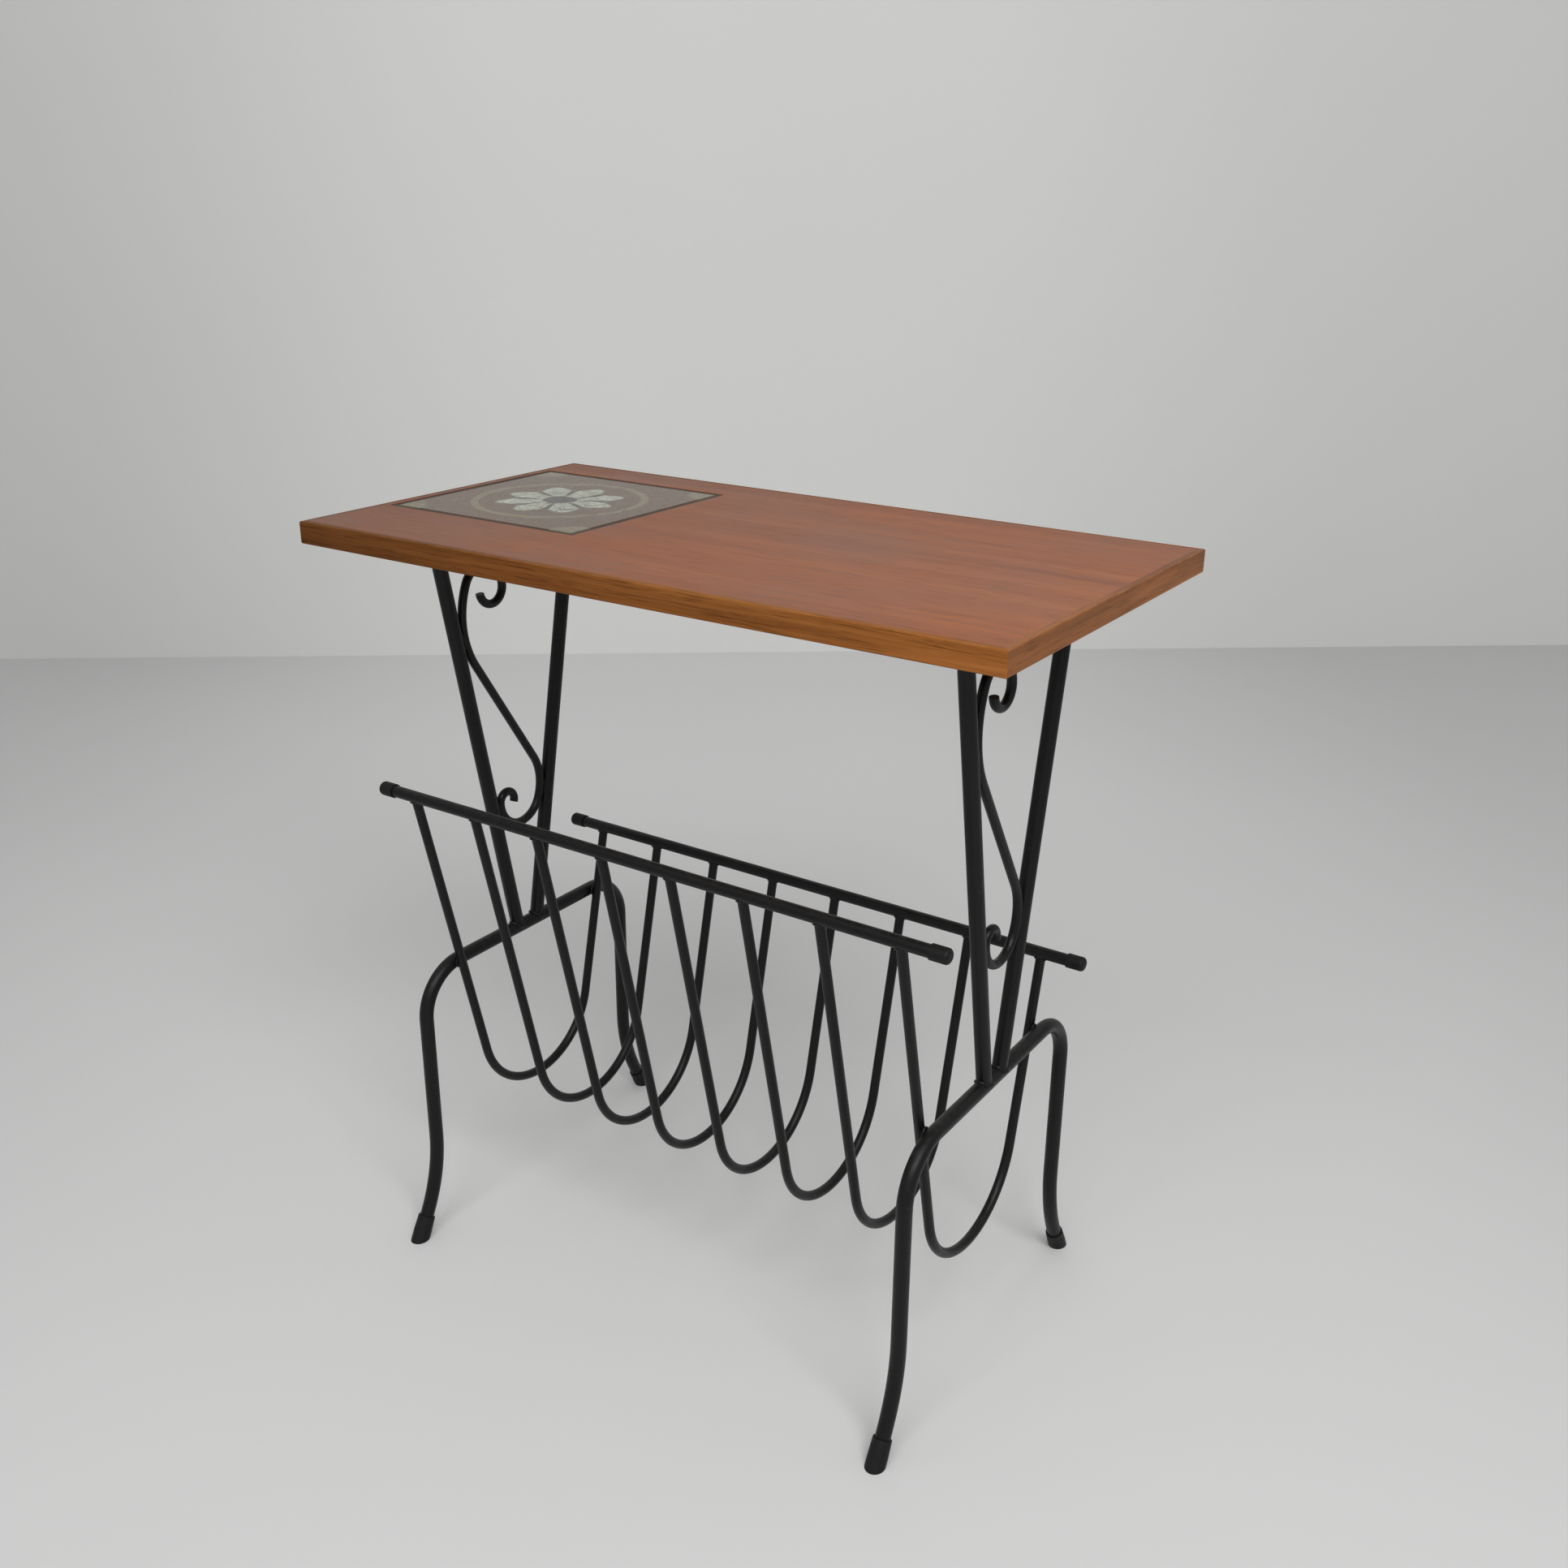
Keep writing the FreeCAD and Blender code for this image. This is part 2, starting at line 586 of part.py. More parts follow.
def make_uprights(end, side):
    """Two leaning rods, saddled on the crossbar and cut level under the strap."""
    crossbar = doc.addObject("Part::Cylinder", "CrossbarCut")
    crossbar.setExpression("Radius", "Derived.crossbar_cut")
    crossbar.setExpression("Height", "Sizes.leg_spread")
    place(crossbar, f"{side} * Derived.frame_x", "Sizes.leg_spread / 2", "Sizes.arch_height",
          Vector(1, 0, 0), "90")
    trim = doc.addObject("Part::Box", "TopTrim")
    trim.setExpression("Length", "2 * Sizes.upright_rod")
    trim.setExpression("Width", "Derived.trim_width")
    trim.setExpression("Height", "2 * Sizes.overrun")
    place(trim, f"{side} * Derived.frame_x - Sizes.upright_rod", "-Derived.trim_width / 2",
          "Derived.strap_underside")
    for face, face_side in FRONT_REAR.items():
        rod = doc.addObject("Part::Cylinder", "UprightRod")
        rod.setExpression("Radius", "Sizes.upright_rod / 2")
        rod.setExpression("Height", "Derived.upright_length")
        place(rod, f"{side} * Derived.frame_x", f"{face_side} * Sizes.upright_spread_low / 2",
              "Sizes.arch_height", Vector(-face_side, 0, 0), "Derived.upright_lean")
        saddled = doc.addObject("Part::Cut", "SaddledRod")
        saddled.Base = rod
        saddled.Tool = crossbar
        upright = sub_part(doc.addObject("Part::Cut", "Upright"), f"upright_{face}_{end}")
        upright.Base = saddled
        upright.Tool = trim


def make_scroll(end, side):
    """An S-shaped rod: a straight, then bows, curls and hooks of falling radius at both ends."""
    body = new_body(f"scroll_{end}")
    place(body, f"{side} * Derived.frame_x", "Derived.scroll_y", "Derived.scroll_z",
          Vector(1, 0, 0), "Derived.scroll_tilt")
    profile = new_sketch(body, "XY_Plane", "Profile")
    draw_circle(profile, "Sizes.scroll_rod")
    upper = new_sketch(body, "YZ_Plane", "UpperSpine")
    draw_bends(upper, Vector(0, 1, 0), [
        ("Derived.upper_straight",),
        ("Derived.upper_bow", "Derived.bow_turn", -1),
        ("Sizes.upper_curl_radius", "Derived.curl_turn", -1),
        ("Sizes.upper_hook_radius", "Sizes.upper_hook_turn", -1),
    ])
    sweep(body, profile, upper)
    lower = new_sketch(body, "YZ_Plane", "LowerSpine")
    draw_bends(lower, Vector(0, -1, 0), [
        ("Derived.lower_straight",),
        ("Derived.lower_bow", "Derived.bow_turn", -1),
        ("Derived.lower_curl", "Derived.curl_turn", -1),
        ("Sizes.lower_hook_radius", "Sizes.lower_hook_turn", -1),
    ])
    sweep(body, profile, lower)


def make_rail(face):
    """A straight rail along the rack, with a cap on each end."""
    rail = sub_part(doc.addObject("Part::Cylinder", "Rail"), f"rail_{face}")
    rail.setExpression("Radius", "Sizes.rail_rod / 2")
    rail.setExpression("Height", "Derived.rail_length")
    place(rail, "-Derived.rail_length / 2", f"Derived.{face}_rail_y", f"Derived.{face}_rail_z",
          Vector(0, 1, 0), "90")
    for end, side in LEFT_RIGHT.items():
        tip = new_body(f"rail_tip_{face}_{end}")
        place(tip, f"{side} * Derived.rail_length / 2", f"Derived.{face}_rail_y", f"Derived.{face}_rail_z",
              Vector(0, side, 0), "90")
        turned = revolve(tip, [
            ("0", "0"),
            ("Derived.rail_bore", "0"),
            ("Derived.rail_bore", "-Sizes.rail_tip_depth"),
            ("Derived.rail_tip_radius", "-Sizes.rail_tip_depth"),
            ("Derived.rail_tip_radius", "Sizes.rail_tip_end"),
            ("0", "Sizes.rail_tip_end"),
        ], "TipOutline")
        end_level = value_of("Sizes.rail_tip_end")
        round_edges(tip, turned, "Sizes.rail_tip_round", lambda edge: lies_at(edge, "Z", end_level))


def make_rack_wire(number):
    """One U-shaped wire, longer at the front, coped under both rails."""
    body = new_body(f"rack_wire_{number + 1}")
    gaps = WIRE_COUNT - 1
    x = f"Derived.end_wire_x * {2 * number - gaps} / {gaps}"
    place(body, x, "-Sizes.rack_forward", "Derived.wire_low_z")
    profile = new_sketch(body, "XZ_Plane", "Profile")
    draw_circle(profile, "Sizes.wire_rod")
    for face, side in FRONT_REAR.items():
        spine = new_sketch(body, "YZ_Plane", f"{face.title()}Spine")
        draw_bends(spine, Vector(side, 0, 0), [
            ("Sizes.wire_bend", "Derived.wire_turn", side),
            (f"Derived.{face}_arm",),
        ])
        sweep(body, profile, spine)
    for face, side in FRONT_REAR.items():
        cope = new_sketch(body, "YZ_Plane", f"{face.title()}Cope",
                          f"{side} * Derived.{face}_reach", f"Derived.{face}_rise")
        draw_circle(cope, "Derived.rail_cut")
        pocket(body, cope, "2 * Sizes.overrun", both_ways=True)


make_board()
make_lippings()
make_tile()
for end_name, end_side in LEFT_RIGHT.items():
    make_strap(end_name, end_side)
    make_leg_arch(end_name, end_side)
    make_uprights(end_name, end_side)
    make_scroll(end_name, end_side)
    for face_name, face_side in FRONT_REAR.items():
        make_foot_tip(end_name, end_side, face_name, face_side)
for face_name in FRONT_REAR:
    make_rail(face_name)
for wire_number in range(WIRE_COUNT):
    make_rack_wire(wire_number)
doc.recompute()

# Every object has to be sound before anything is written
for item in doc.Objects:
    if {"Invalid", "Error"} & set(item.State):
        raise RuntimeError(f"{item.Label}: {item.State}")
for piece in sub_parts:
    if piece.Shape.isNull() or not piece.Shape.isValid():
        raise RuntimeError(f"{piece.Label}: no valid shape")

os.makedirs("parts", exist_ok=True)
for piece in sub_parts:
    piece.Shape.exportStep(f"parts/{piece.Label}.step")
print(f"{len(sub_parts)} sub-parts written")
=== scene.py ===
import math
import random

import bmesh
import bpy
from mathutils import Matrix, Vector


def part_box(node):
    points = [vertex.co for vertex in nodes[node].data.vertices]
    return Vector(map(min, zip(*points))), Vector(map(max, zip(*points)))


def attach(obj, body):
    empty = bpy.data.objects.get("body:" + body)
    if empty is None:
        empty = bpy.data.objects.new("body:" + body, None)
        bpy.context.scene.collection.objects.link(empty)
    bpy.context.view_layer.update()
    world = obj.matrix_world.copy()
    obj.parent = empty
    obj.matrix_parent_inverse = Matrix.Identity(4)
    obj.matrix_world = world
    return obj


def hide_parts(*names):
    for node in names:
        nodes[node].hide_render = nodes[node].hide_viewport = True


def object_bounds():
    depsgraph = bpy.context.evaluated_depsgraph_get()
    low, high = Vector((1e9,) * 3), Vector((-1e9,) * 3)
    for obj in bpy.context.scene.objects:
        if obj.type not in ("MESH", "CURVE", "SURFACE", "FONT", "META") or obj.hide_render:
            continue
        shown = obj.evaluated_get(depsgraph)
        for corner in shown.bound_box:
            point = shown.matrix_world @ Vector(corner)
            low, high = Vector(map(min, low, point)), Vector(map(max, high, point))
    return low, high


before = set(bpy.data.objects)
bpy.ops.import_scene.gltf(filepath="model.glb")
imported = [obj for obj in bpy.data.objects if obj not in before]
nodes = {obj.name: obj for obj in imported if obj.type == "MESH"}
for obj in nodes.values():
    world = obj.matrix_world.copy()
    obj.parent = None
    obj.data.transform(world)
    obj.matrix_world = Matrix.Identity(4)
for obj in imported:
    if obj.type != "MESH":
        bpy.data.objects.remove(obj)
cad_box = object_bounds()

# The table stands on the floor with its length along X and its front towards -Y. Lengths are in metres.
MM = 0.001
FULL_TURN = 2 * math.pi
X_AXIS = Vector((1, 0, 0))
Y_AXIS = Vector((0, 1, 0))
Z_AXIS = Vector((0, 0, 1))
ENDS = ("left", "right")
FACES = {"front": -1, "rear": 1}
WIRES = [name for name in sorted(nodes) if name.startswith("rack_wire_")]
TABLE_ENDS_X = tuple(corner[0] for corner in cad_box)

# Sizes from the part's source: the lean of a wire's arms, and the uprights' spread on their crossbar
WIRE_LEAN = math.radians(12.8)
UPRIGHT_SPREAD_LOW = 20 * MM


# Shader building

# Sockets that a Mix node has for colours
MIX_FACTOR = 0
MIX_FIRST = 6
MIX_SECOND = 7
MIX_RESULT = 2

# Nearly all values of a noise lie in its range, and most of them in its core
NOISE_MIDDLE = 0.5
NOISE_RANGE = (0.3, 0.7)
NOISE_CORE = (0.35, 0.65)


class Recipe:
    """A material under construction: adds nodes and links them into one Principled shader."""

    def __init__(self, name):
        self.material = bpy.data.materials.new(name)
        self.material.use_nodes = True
        self.nodes = self.material.node_tree.nodes
        self.links = self.material.node_tree.links
        self.shader = self.nodes["Principled BSDF"]
        self.place = self.add("TexCoord").outputs["Object"]

    def add(self, kind, inputs=None, **settings):
        """A node with its settings, and with its inputs fed."""
        node = self.nodes.new(f"ShaderNode{kind}")
        for name, value in settings.items():
            setattr(node, name, value)
        for name, value in (inputs or {}).items():
            self.feed(node.inputs[name], value)
        return node

    def feed(self, socket, value):
        """Link a socket to an output, or set it to a constant."""
        if isinstance(value, bpy.types.NodeSocket):
            self.links.new(value, socket)
        else:
            socket.default_value = value

    def finish(self, **surface):
        """Feed the shader's sockets, named in lower case with underscores, and give the material."""
        sockets = {socket.name.lower().replace(" ", "_"): socket for socket in self.shader.inputs}
        for name, value in surface.items():
            self.feed(sockets[name], value)
        return self.material

    def math(self, operation, first, second=0.0):
        return self.add("Math", {0: first, 1: second}, operation=operation).outputs[0]

    def square(self, value):
        return self.math("MULTIPLY", value, value)

    def reach(self, across, along):
        """The length of a way that goes across and along."""
        return self.math("SQRT", self.math("ADD", self.square(across), self.square(along)))

    def average(self, first, second, first_share):
        """Two values added up, the first by its share and the second by the rest."""
        rest = self.math("MULTIPLY", second, 1.0 - first_share)
        return self.math("ADD", self.math("MULTIPLY", first, first_share), rest)

    def span(self, value, source, target=(0.0, 1.0), smooth=False):
        """A value carried from one range to another and held inside it."""
        limits = zip(("From Min", "From Max", "To Min", "To Max"), (*source, *target))
        kind = "SMOOTHSTEP" if smooth else "LINEAR"
        return self.add("MapRange", {"Value": value, **dict(limits)}, interpolation_type=kind).outputs[0]

    def axis(self, vector, name):
        """One coordinate of a vector."""
        return self.add("SeparateXYZ", {0: vector}).outputs[name]

    def up(self):
        """How far the surface faces upward, from -1 to 1."""
        return self.axis(self.add("NewGeometry").outputs["Normal"], "Z")

    def stretched(self, scale):
        """Places in the part's frame, with each axis multiplied by its own scale."""
        return self.add("Mapping", {"Vector": self.place, "Scale": scale}).outputs[0]

    def noise(self, place, scale, detail, roughness=0.5, distortion=0.0):
        """Cloudy values between 0 and 1. The scale is in cells per metre."""
        inputs = {"Vector": place, "Scale": scale, "Detail": detail, "Roughness": roughness,
                  "Distortion": distortion}
        return self.add("TexNoise", inputs).outputs[0]

    def ramp(self, factor, positions, colours):
        """Colours by a factor, each at its own position."""
        node = self.add("ValToRGB", {"Fac": factor})
        elements = node.color_ramp.elements
        while len(elements) < len(positions):
            elements.new(1.0)
        for element, position, colour in zip(elements, positions, colours):
            element.position = position
            element.color = (*colour, 1.0)
        return node.outputs[0]

    def mix(self, factor, first, second, kind="MIX"):
        """Two colours, blended by a factor."""
        node = self.add("Mix", data_type="RGBA", blend_type=kind)
        self.feed(node.inputs[MIX_FACTOR], factor)
        for index, colour in ((MIX_FIRST, first), (MIX_SECOND, second)):
            self.feed(node.inputs[index], (*colour, 1.0) if isinstance(colour, tuple) else colour)
        return node.outputs[MIX_RESULT]

    def toned(self, colour, share):
        """A colour made darker or lighter, to a share of itself."""
        return self.mix(1.0, colour, share, kind="MULTIPLY")

    def bump(self, height, depth):
        """A normal from a height between 0 and 1, for a real depth."""
        return self.add("Bump", {"Height": height, "Distance": depth}).outputs[0]


# Wood

ALONG_GRAIN_SHARE = 0.03
GRAIN_STRETCH = {"x": (ALONG_GRAIN_SHARE, 1.0, 1.0), "y": (1.0, ALONG_GRAIN_SHARE, 1.0)}
GRAIN_BANDS = {"scale": 24, "detail": 2, "distortion": 0.6}
GROWTH_LINES = {"scale": 190, "detail": 4, "roughness": 0.62, "distortion": 0.3}
PORES = {"scale": 1100, "detail": 2, "roughness": 0.7}
BLOTCHES = {"scale": 9, "detail": 3}
BAND_SHARE = 0.55
FIGURE_STOPS = (0.36, 0.50, 0.64)
PORE_EDGE = (0.34, 0.46)
PORE_TONE_SHARES = (0.62, 1.0)
PORE_DEPTH_SHARE = 0.75
BLOTCH_TONE_SHARES = (0.86, 1.08)
WOOD_GLOSS_RANGE = (0.7, 1.3)
GRAIN_DEPTH = 0.04 * MM

ARRIS_TILT = (0.06, 0.22)
ARRIS_WEAR_SHARE = 0.55
WEAR_PATCHES = {"scale": 70, "detail": 4, "roughness": 0.65}
WEAR_PATCH_EDGE = (0.42, 0.62)

# Tones are dark, middle and light. The shares at the left and right ends are painted shade and light: the
# wood is darker at the left end and lighter at the right, as the lamps fall more on the right.
TEAK = {
    "tones": ((0.185, 0.050, 0.014), (0.270, 0.078, 0.023), (0.335, 0.108, 0.036)),
    "roughness": (0.33, 0.49),
    "specular": 0.22,
    "painted_light_end_shares": (0.71, 1.08),
}
LIPPING_LONG = {
    "tones": ((0.111, 0.037, 0.008), (0.196, 0.068, 0.016), (0.278, 0.106, 0.027)),
    "roughness": (0.37, 0.53),
    "specular": 0.06,
    "painted_light_end_shares": (0.72, 1.50),
}
LIPPING_SHORT = {
    "tones": ((0.108, 0.039, 0.012), (0.190, 0.071, 0.023), (0.270, 0.110, 0.039)),
    "roughness": (0.37, 0.53),
    "specular": 0.13,
    "painted_light_end_shares": (0.72, 1.50),
}
BACKING = {
    "tones": ((0.17, 0.095, 0.050), (0.29, 0.175, 0.095), (0.37, 0.235, 0.135)),
    "roughness": (0.61, 0.77),
    "specular": 0.22,
    "painted_light_end_shares": (1.0, 1.0),
}


def arris_wear(recipe):
    """How pale an edge is rubbed: in patches, where the surface tilts between level and upright."""
    level = recipe.square(recipe.up())
    tilt = recipe.math("MULTIPLY", level, recipe.math("SUBTRACT", 1.0, level))
    patches = recipe.noise(recipe.place, **WEAR_PATCHES)
    worn = recipe.span(patches, WEAR_PATCH_EDGE, (0.0, ARRIS_WEAR_SHARE))
    return recipe.math("MULTIPLY", recipe.span(tilt, ARRIS_TILT), worn)


def wood(name, along, tones, roughness, specular, painted_light_end_shares):
    """Straight-grained wood: slow bands, growth lines and open pores, drawn out along the grain."""
    recipe = Recipe(name)
    place = recipe.stretched(GRAIN_STRETCH[along])
    bands = recipe.noise(place, **GRAIN_BANDS)
    lines = recipe.noise(place, **GROWTH_LINES)
    pores = recipe.span(recipe.noise(place, **PORES), PORE_EDGE, PORE_TONE_SHARES)
    blotches = recipe.noise(recipe.place, **BLOTCHES)
    colour = recipe.ramp(recipe.average(bands, lines, BAND_SHARE), FIGURE_STOPS, tones)
    colour = recipe.toned(colour, pores)
    colour = recipe.toned(colour, recipe.span(blotches, NOISE_RANGE, BLOTCH_TONE_SHARES))
    colour = recipe.mix(arris_wear(recipe), colour, tones[-1])
    # Painted shade and light: darker towards the left end of the table and lighter towards the right end
    colour = recipe.toned(colour, recipe.span(recipe.axis(recipe.place, "X"), TABLE_ENDS_X, painted_light_end_shares))
    return recipe.finish(
        base_color=colour,
        roughness=recipe.span(recipe.math("ADD", blotches, lines), WOOD_GLOSS_RANGE, roughness),
        specular_ior_level=specular,
        normal=recipe.bump(recipe.average(pores, lines, PORE_DEPTH_SHARE), GRAIN_DEPTH),
    )


# Chipboard

FLAKES_PER_METRE = 420.0
FLAKE_STOPS = (0.0, 0.6, 1.0)
FLAKE_TONES = ((0.20, 0.12, 0.06), (0.42, 0.29, 0.16), (0.60, 0.45, 0.28))
CHIPBOARD_ROUGHNESS = 0.85
FLAKE_DEPTH = 0.3 * MM


def chipboard():
    """Pressed flakes in several browns."""
    recipe = Recipe("core_chipboard")
    flakes = recipe.add("TexVoronoi", {"Vector": recipe.place, "Scale": FLAKES_PER_METRE}).outputs["Color"]
    tone = recipe.add("SeparateColor", {0: flakes}).outputs[0]
    return recipe.finish(
        base_color=recipe.ramp(tone, FLAKE_STOPS, FLAKE_TONES),
        roughness=CHIPBOARD_ROUGHNESS,
        normal=recipe.bump(tone, FLAKE_DEPTH),
    )


# Lacquered steel

LACQUER_TONE = (0.0036, 0.0036, 0.0038)
LACQUER_TONE_RUBBED = (0.024, 0.021, 0.018)
LACQUER_CLOUD = {"scale": 38, "detail": 4, "roughness": 0.6}
LACQUER_SPOTS = {"scale": 240, "detail": 5, "roughness": 0.7}
LACQUER_SPECKS = {"scale": 900, "detail": 3, "roughness": 0.6}
RUBBED_SPOT_EDGE = (0.62, 0.70)
RUBBED_CLOUD_EDGE = (0.46, 0.62)
DUST_TONE = (0.055, 0.052, 0.047)
DUST_SLOPE = (0.55, 1.0)
DUST_EDGE = (0.42, 0.62)
DUST_SHARES = (0.05, 0.22)
LACQUER_GLOSS_RANGE = (0.3, 0.8)
LACQUER_ROUGHNESS = (0.30, 0.50)
LACQUER_SPECULAR = 0.24
LACQUER_SPOT_SHARE = 0.8
LACQUER_DEPTH = 0.12 * MM


def lacquered_steel():
    """Brushed black lacquer on bent rod: uneven gloss, small rubbed spots, and dust on top."""
    recipe = Recipe("black_lacquer")
    cloud = recipe.noise(recipe.place, **LACQUER_CLOUD)
    spots = recipe.noise(recipe.place, **LACQUER_SPOTS)
    specks = recipe.noise(recipe.place, **LACQUER_SPECKS)
    rubbed_spots = recipe.span(spots, RUBBED_SPOT_EDGE)
    rubbed = recipe.math("MULTIPLY", rubbed_spots, recipe.span(cloud, RUBBED_CLOUD_EDGE))
    loose_dust = recipe.span(spots, DUST_EDGE, DUST_SHARES)
    dust = recipe.math("MULTIPLY", recipe.span(recipe.up(), DUST_SLOPE), loose_dust)
    lacquer = recipe.mix(rubbed, LACQUER_TONE, LACQUER_TONE_RUBBED)
    return recipe.finish(
        base_color=recipe.mix(dust, lacquer, DUST_TONE),
        roughness=recipe.span(recipe.math("ADD", cloud, dust), LACQUER_GLOSS_RANGE, LACQUER_ROUGHNESS),
        specular_ior_level=LACQUER_SPECULAR,
        normal=recipe.bump(recipe.average(spots, specks, LACQUER_SPOT_SHARE), LACQUER_DEPTH),
    )


# Rubber

RUBBER_TONE = (0.0035, 0.0035, 0.0035)
RUBBER_TONE_DUSTY = (0.010, 0.0097, 0.0092)
RUBBER_PITS = {"scale": 1400, "detail": 3}
RUBBER_CLOUD = {"scale": 120, "detail": 4}
RUBBER_DUST_EDGE = (0.45, 0.75)
RUBBER_DUST_SHARES = (0.0, 0.5)
RUBBER_ROUGHNESS = (0.50, 0.68)
RUBBER_SPECULAR = 0.26
RUBBER_DEPTH = 0.06 * MM


def moulded_rubber():
    """Black tips: matt, finely pitted and greyed a little by dust."""
    recipe = Recipe("black_rubber")
    pits = recipe.noise(recipe.place, **RUBBER_PITS)
    cloud = recipe.noise(recipe.place, **RUBBER_CLOUD)
    dust = recipe.span(cloud, RUBBER_DUST_EDGE, RUBBER_DUST_SHARES)
    return recipe.finish(
        base_color=recipe.mix(dust, RUBBER_TONE, RUBBER_TONE_DUSTY),
        roughness=recipe.span(cloud, NOISE_RANGE, RUBBER_ROUGHNESS),
        specular_ior_level=RUBBER_SPECULAR,
        normal=recipe.bump(pits, RUBBER_DEPTH),
    )


# Screw steel

TARNISH = {"scale": 500, "detail": 5, "roughness": 0.65}
TARNISH_TONES = ((0.20, 0.17, 0.14), (0.55, 0.53, 0.50))
TURNING_MARKS = {"scale": 1500, "detail": 2}
TURNING_STRETCH = (1.0, 1.0, 12.0)
SCREW_ROUGHNESS = (0.55, 0.32)
TURNING_DEPTH = 0.02 * MM


def plain_steel():
    """Bare screw steel with turning marks and a little tarnish."""
    recipe = Recipe("screw_steel")
    tarnish = recipe.noise(recipe.place, **TARNISH)
    marks = recipe.noise(recipe.stretched(TURNING_STRETCH), **TURNING_MARKS)
    return recipe.finish(
        base_color=recipe.ramp(tarnish, NOISE_CORE, TARNISH_TONES),
        metallic=1.0,
        roughness=recipe.span(tarnish, NOISE_RANGE, SCREW_ROUGHNESS),
        normal=recipe.bump(marks, TURNING_DEPTH),
    )


# Filler

GRIT = {"scale": 1500, "detail": 4, "roughness": 0.65}
GRIT_CLOUD = {"scale": 60, "detail": 3}
GRIT_SHARE = 0.5
FILLER_ROUGHNESS = (0.62, 0.85)
FILLER_DEPTH = 0.15 * MM
BORDER_TONES = ((0.030, 0.024, 0.020), (0.062, 0.050, 0.041))
ADHESIVE_TONES = ((0.36, 0.33, 0.28), (0.55, 0.52, 0.45))


def filler(name, tones):
    """Trowelled filler: fine grit in two tones."""
    recipe = Recipe(name)
    grit = recipe.noise(recipe.place, **GRIT)
    cloud = recipe.noise(recipe.place, **GRIT_CLOUD)
    return recipe.finish(
        base_color=recipe.ramp(recipe.average(grit, cloud, GRIT_SHARE), NOISE_CORE, tones),
        roughness=recipe.span(grit, NOISE_RANGE, FILLER_ROUGHNESS),
        normal=recipe.bump(grit, FILLER_DEPTH),
    )


# Glaze

GLAZE_GROUND = (0.082, 0.043, 0.019)
GLAZE_GROUND_THIN = (0.118, 0.066, 0.032)
GLAZE_PALE = (0.42, 0.44, 0.35)
GLAZE_PALE_THIN = (0.23, 0.245, 0.19)
GLAZE_OLIVE = (0.165, 0.130, 0.070)
GLAZE_LINE = (0.036, 0.031, 0.023)
GLAZE_STROKES = {"scale": 130, "detail": 4, "roughness": 0.6, "distortion": 1.5}
GLAZE_ROUGHNESS = (0.18, 0.30)
GLAZE_SPECULAR = 0.28
GLAZE_PETAL_SHARE = 0.6
GLAZE_DEPTH = 0.10 * MM

# The painted motif: shares of half the tile's width, in pairs where a brushed edge starts and ends
HAND_WOBBLE = {"scale": 55, "detail": 2}
WOBBLE_SHARE = 0.09
PETALS = 8
PETAL_REACH_SHARE = 0.50
PETAL_LOBE_SHARE = 0.075
PETAL_EDGE_SHARES = (-0.02, 0.03)
CLEFT_LOBE_EDGE = (-0.70, -0.95)
CLEFT_START_SHARES = (0.12, 0.24)
EYE_EDGE_SHARES = (0.17, 0.14)
RING_REACH_SHARE = 0.76
RING_EDGE_SHARES = (0.045, 0.025)
CORNER_EDGE_SHARES = (0.27, 0.23)

CRAZE_CELLS_PER_METRE = 150.0
CRAZE_CRACK_EDGE = (0.014, 0.034)
CRAZE_PATCHES = {"scale": 18, "detail": 2}
CRAZE_PATCH_EDGE = (0.40, 0.62)
CRAZE_PATCH_SHARES = (0.15, 0.75)


def crazing(recipe):
    """Fine cracks in a glaze: the borders of small cells, fading in and out across the tile."""
    cells = {"Vector": recipe.place, "Scale": CRAZE_CELLS_PER_METRE}
    border = recipe.add("TexVoronoi", cells, feature="DISTANCE_TO_EDGE").outputs["Distance"]
    cracks = recipe.span(border, CRAZE_CRACK_EDGE, (1.0, 0.0))
    patches = recipe.noise(recipe.place, **CRAZE_PATCHES)
    return recipe.math("MULTIPLY", cracks, recipe.span(patches, CRAZE_PATCH_EDGE, CRAZE_PATCH_SHARES))


def places_on_tile(recipe):
    """Places across and along the tile, from -1 to 1, with the wobble of a painter's hand."""
    low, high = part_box("tile")
    wobble = recipe.math("SUBTRACT", recipe.noise(recipe.place, **HAND_WOBBLE), NOISE_MIDDLE)
    drift = recipe.math("MULTIPLY", wobble, WOBBLE_SHARE)
    across = recipe.span(recipe.axis(recipe.place, "X"), (low.x, high.x), (-1.0, 1.0))
    along = recipe.span(recipe.axis(recipe.place, "Y"), (low.y, high.y), (-1.0, 1.0))
    return recipe.math("ADD", across, drift), recipe.math("SUBTRACT", along, drift)


def rosette(recipe, across, along):
    """Where the petals of a rosette are, the clefts between them, and its eye."""
    reach = recipe.reach(across, along)
    lobes = recipe.math("COSINE", recipe.math("MULTIPLY", recipe.math("ARCTAN2", along, across), PETALS))
    outline = recipe.math("ADD", recipe.math("MULTIPLY", lobes, PETAL_LOBE_SHARE), PETAL_REACH_SHARE)
    petals = recipe.span(recipe.math("SUBTRACT", outline, reach), PETAL_EDGE_SHARES, smooth=True)
    between = recipe.span(lobes, CLEFT_LOBE_EDGE, smooth=True)
    clefts = recipe.math("MULTIPLY", between, recipe.span(reach, CLEFT_START_SHARES))
    eye = recipe.span(reach, EYE_EDGE_SHARES, smooth=True)
    return petals, recipe.math("MULTIPLY", clefts, petals), eye


def ring_and_corners(recipe, across, along):
    """Where a ring about the rosette is, and a quarter disc in each corner."""
    off_ring = recipe.math("SUBTRACT", recipe.reach(across, along), RING_REACH_SHARE)
    ring = recipe.span(recipe.math("ABSOLUTE", off_ring), RING_EDGE_SHARES, smooth=True)
    from_sides = [recipe.math("SUBTRACT", 1.0, recipe.math("ABSOLUTE", place)) for place in (across, along)]
    corners = recipe.span(recipe.reach(*from_sides), CORNER_EDGE_SHARES, smooth=True)
    return ring, corners


